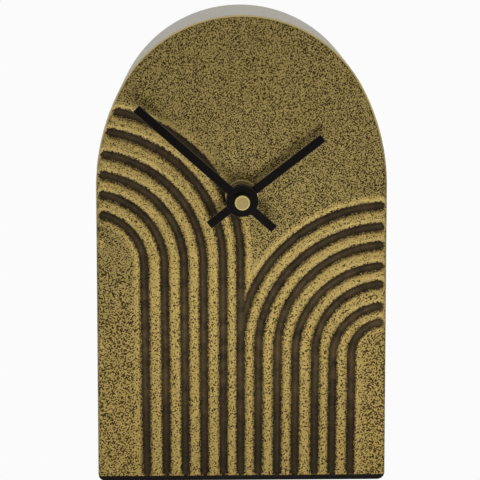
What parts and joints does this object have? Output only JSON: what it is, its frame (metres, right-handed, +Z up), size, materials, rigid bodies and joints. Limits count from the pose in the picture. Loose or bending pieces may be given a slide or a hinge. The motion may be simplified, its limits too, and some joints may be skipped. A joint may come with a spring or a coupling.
{
  "type": "mantel clock",
  "caption": "Arch-topped table clock: a hollow cast case with grooved brass front, plain black hands and a quartz movement behind a flat back plate.",
  "frame": {"origin": "centre of the felt pad's underside, on the surface that the clock stands on, midway between the front face and the back edge of the casting", "axes": "+Z up, the front faces -Y, +X to the right seen from the front"},
  "size_m": [0.1534, 0.0772, 0.2511],
  "materials": {
    "case_metal": "cast, antique brass finish rubbed bright on its high places, dark in the grooves; side wall satin silver-grey",
    "back_plate": "black powder coat",
    "screw_steel": "zinc plated",
    "felt": "dark felt",
    "brass_hardware": "satin brass",
    "hand_black": "matte black paint",
    "movement_black": "black moulded plastic",
    "gasket_rubber": "black rubber",
    "wheel_plastic": "natural moulded plastic",
    "bridge_plastic": "natural moulded plastic",
    "board": "green circuit board",
    "chip_black": "black resin",
    "can_steel": "plated can",
    "motor_steel": "stamped steel",
    "bobbin_plastic": "moulded plastic",
    "copper_wire": "enamelled copper wire",
    "magnet": "sintered ferrite",
    "contact_steel": "nickel plated spring steel",
    "battery_jacket": "plain wrapped cell, steel ends"
  },
  "bodies": {
    "clock_case": {"case_shell": "case_metal", "back_plate": "back_plate", "back_plate_screws": "screw_steel", "base_pad": "felt", "dial_washer": "brass_hardware", "bush_nut": "brass_hardware", "threaded_bush": "brass_hardware", "seal_gasket": "gasket_rubber", "stator": "motor_steel", "coil_core": "motor_steel", "coil_bobbin": "bobbin_plastic", "coil_winding": "copper_wire", "movement_case": "movement_black", "movement_cover": "movement_black", "bridge_plate": "bridge_plastic", "circuit_board": "board", "timing_chip": "chip_black", "quartz_crystal": "can_steel", "positive_contact": "contact_steel", "negative_contact": "contact_steel", "battery": "battery_jacket"},
    "minute": {"minute_arbor": "brass_hardware", "minute_hand": "hand_black", "hand_nut": "brass_hardware"},
    "hour": {"hour_wheel": "wheel_plastic", "hour_hand": "hand_black"},
    "motion": {"motion_wheel": "wheel_plastic"},
    "knob": {"setting_knob": "movement_black"},
    "seconds": {"seconds_wheel": "wheel_plastic"},
    "first": {"first_wheel": "wheel_plastic"},
    "rotor": {"rotor_pinion": "wheel_plastic", "rotor_magnet": "magnet"},
    "third": {"third_wheel": "wheel_plastic"},
    "centre": {"centre_wheel": "wheel_plastic"}
  },
  "joints": [
    {"name": "minute_turn", "type": "hinge", "parent": "clock_case", "child": "minute", "pos_m": [0, -0.02, 0.1582], "axis": [0, 1, 0], "continuous": true},
    {"name": "hour_turn", "type": "hinge", "parent": "clock_case", "child": "hour", "pos_m": [0, -0.02, 0.1582], "axis": [0, 1, 0], "continuous": true},
    {"name": "motion_turn", "type": "hinge", "parent": "clock_case", "child": "motion", "pos_m": [-0.009, -0.02, 0.1582], "axis": [0, 1, 0], "continuous": true},
    {"name": "knob_turn", "type": "hinge", "parent": "clock_case", "child": "knob", "pos_m": [-0.0128, -0.02, 0.16636], "axis": [0, 1, 0], "continuous": true},
    {"name": "seconds_turn", "type": "hinge", "parent": "clock_case", "child": "seconds", "pos_m": [0, -0.02, 0.1582], "axis": [0, 1, 0], "continuous": true},
    {"name": "first_turn", "type": "hinge", "parent": "clock_case", "child": "first", "pos_m": [0.00958, -0.02, 0.16169], "axis": [0, 1, 0], "continuous": true},
    {"name": "rotor_turn", "type": "hinge", "parent": "clock_case", "child": "rotor", "pos_m": [0.01483, -0.02, 0.17078], "axis": [0, 1, 0], "continuous": true},
    {"name": "third_turn", "type": "hinge", "parent": "clock_case", "child": "third", "pos_m": [-0.00167, -0.02, 0.16765], "axis": [0, 1, 0], "continuous": true},
    {"name": "centre_turn", "type": "hinge", "parent": "clock_case", "child": "centre", "pos_m": [0, -0.02, 0.1582], "axis": [0, 1, 0], "continuous": true}
  ],
  "couplings": [
    {"joint": "motion_turn", "follows": "minute_turn", "ratio": -0.33333},
    {"joint": "hour_turn", "follows": "minute_turn", "ratio": 0.083333},
    {"joint": "knob_turn", "follows": "minute_turn", "ratio": 1},
    {"joint": "first_turn", "follows": "seconds_turn", "ratio": -5},
    {"joint": "rotor_turn", "follows": "seconds_turn", "ratio": 30},
    {"joint": "third_turn", "follows": "seconds_turn", "ratio": -0.13333},
    {"joint": "centre_turn", "follows": "seconds_turn", "ratio": 0.016667}
  ]
}
